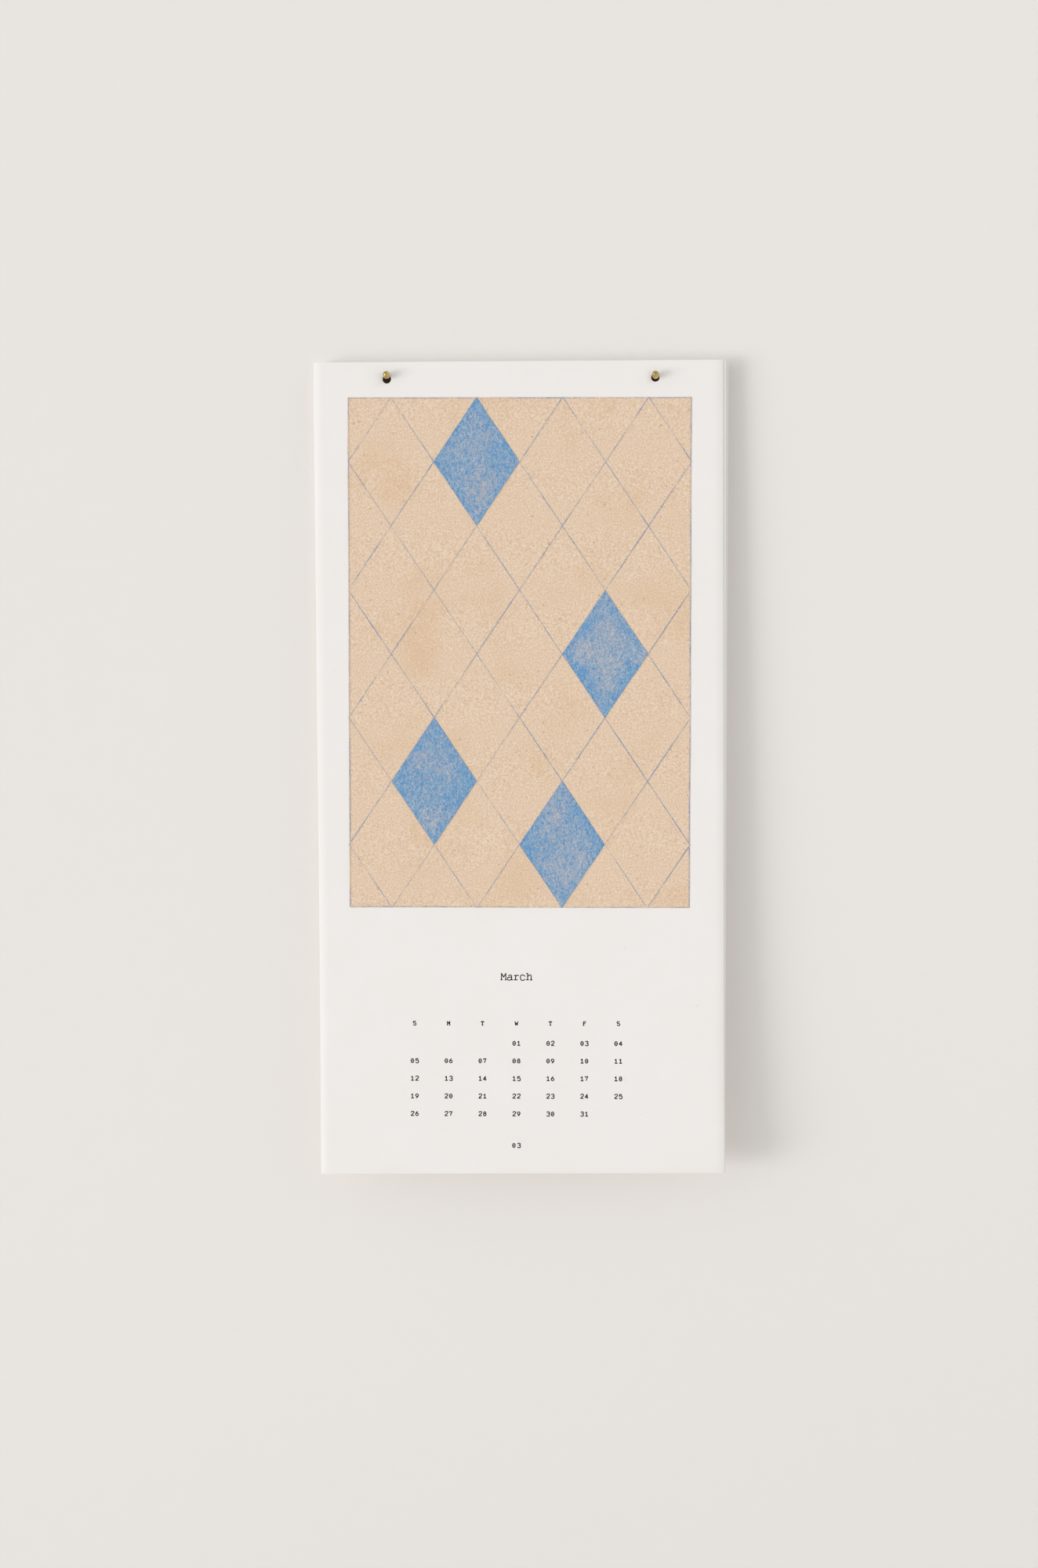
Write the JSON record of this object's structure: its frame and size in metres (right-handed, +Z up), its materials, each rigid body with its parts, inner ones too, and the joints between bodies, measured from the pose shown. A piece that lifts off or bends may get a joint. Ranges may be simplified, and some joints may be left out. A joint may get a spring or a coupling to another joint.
{
  "type": "wall calendar",
  "caption": "Tall narrow wall calendar of loose heavy paper leaves, punched near the top and hung on round-head brass nails, with a printed picture above a month panel.",
  "frame": {"origin": "on the wall plane, midway between the axes of the two nails", "axes": "+Z up, +X to the right of someone who reads the calendar, +Y into the wall along the nails"},
  "size_m": [0.1548, 0.0265, 0.3057],
  "materials": {
    "paper": "matte",
    "kraft_print": "matte",
    "blue_pencil": "matte",
    "brass": "polished"
  },
  "bodies": {
    "root": {"front_leaf": "paper", "leaf_02": "paper", "leaf_03": "paper", "leaf_04": "paper", "leaf_05": "paper", "leaf_06": "paper", "leaf_07": "paper", "leaf_08": "paper", "leaf_09": "paper", "leaf_10": "paper", "leaf_11": "paper", "leaf_12": "paper", "kraft_ground": "kraft_print", "pencil_lines": "blue_pencil", "pencil_diamonds": "blue_pencil", "hanging_nails": "brass"}
  },
  "joints": []
}
